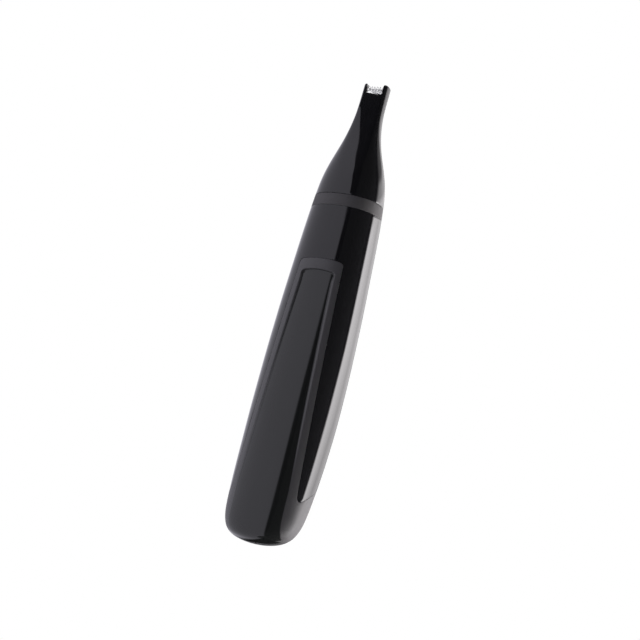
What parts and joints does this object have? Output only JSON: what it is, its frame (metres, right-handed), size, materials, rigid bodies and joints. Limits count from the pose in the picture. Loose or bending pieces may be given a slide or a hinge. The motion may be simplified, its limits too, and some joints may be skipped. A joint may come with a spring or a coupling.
{
  "type": "nose hair trimmer",
  "caption": "Slim tapered battery nose hair trimmer with a forked reciprocating comb tip, a collar, a sunk finger panel and a slide-off battery cover.",
  "frame": {"origin": "below the middle of the rounded base, at its lowest point", "axes": "+Z along the length to the cutting tip, -Y out of the front with the finger panel, +X to the right seen from the front"},
  "size_m": [0.0246, 0.02, 0.1358],
  "materials": {
    "shell_gloss": "polished black",
    "cover_satin": "satin dark grey",
    "collar_matte": "matte dark grey",
    "frame_plastic": "natural white moulding",
    "cam_plastic": "natural acetal",
    "cap_plastic": "black moulding",
    "plated_steel": "nickel plated",
    "blade_steel": "ground and polished",
    "core_steel": "stacked laminations",
    "bronze": "plain",
    "wire_sleeve": "smooth",
    "seal_rubber": "smooth",
    "board_laminate": "coated laminate",
    "cell_wrap": "printed film sleeve"
  },
  "bodies": {
    "handle": {"body_shell": "shell_gloss", "collar_ring": "collar_matte", "chassis": "frame_plastic", "motor_plate": "frame_plastic", "head_socket": "frame_plastic", "head_seal": "seal_rubber", "motor_can": "plated_steel", "motor_end_cap": "cap_plastic", "motor_bearing": "bronze", "motor_screw_left": "plated_steel", "motor_screw_right": "plated_steel", "motor_terminal_left": "bronze", "motor_terminal_right": "bronze", "motor_wire_left": "wire_sleeve", "motor_wire_right": "wire_sleeve", "switch_board": "board_laminate", "switch_leaf": "bronze", "contact_positive": "plated_steel", "contact_negative_strip": "plated_steel"},
    "rotor": {"motor_shaft": "plated_steel", "motor_armature": "core_steel", "eccentric_cam": "cam_plastic"},
    "slider": {"switch_slider": "collar_matte"},
    "head": {"head_shell": "shell_gloss", "guard_comb": "blade_steel", "blade_spring": "plated_steel", "lever_bracket": "frame_plastic", "lever_pivot_pin": "plated_steel"},
    "lever": {"drive_lever": "frame_plastic"},
    "cutter": {"cutter_blade": "blade_steel", "cutter_carrier": "frame_plastic"},
    "cover": {"battery_cover": "cover_satin", "contact_negative_plate": "plated_steel", "contact_negative_spring": "plated_steel"},
    "cell": {"cell_can": "cell_wrap", "cell_positive_cap": "plated_steel", "cell_insulator": "cap_plastic"}
  },
  "joints": [
    {"name": "motor_spin", "type": "hinge", "parent": "handle", "child": "rotor", "pos_m": [0, 0, 0.09], "axis": [0, 0, 1], "continuous": true},
    {"name": "switch_slide", "type": "slide", "parent": "handle", "child": "slider", "axis": [0, 0, 1], "range_m": [0, 0.0025]},
    {"name": "head_release", "type": "slide", "parent": "handle", "child": "head", "axis": [0, 0, 1], "range_m": [0, 0.04]},
    {"name": "lever_rock", "type": "hinge", "parent": "head", "child": "lever", "pos_m": [0, -0.00125, 0.112], "axis": [0, 1, 0], "range_deg": [-1.2, 1.2]},
    {"name": "cutter_slide", "type": "slide", "parent": "head", "child": "cutter", "axis": [1, 0, 0], "range_m": [-0.00032, 0.00032]},
    {"name": "cover_slide", "type": "slide", "parent": "handle", "child": "cover", "axis": [0, 0, -1], "range_m": [0, 0.1]},
    {"name": "cell_slide", "type": "slide", "parent": "handle", "child": "cell", "axis": [0, 0, -1], "range_m": [0, 0.055]}
  ],
  "couplings": [
    {"joint": "lever_rock", "follows": "cutter_slide", "rad_per_m": 64.935},
    {"joint": "cell_slide", "follows": "cover_slide", "ratio": 0.55}
  ]
}
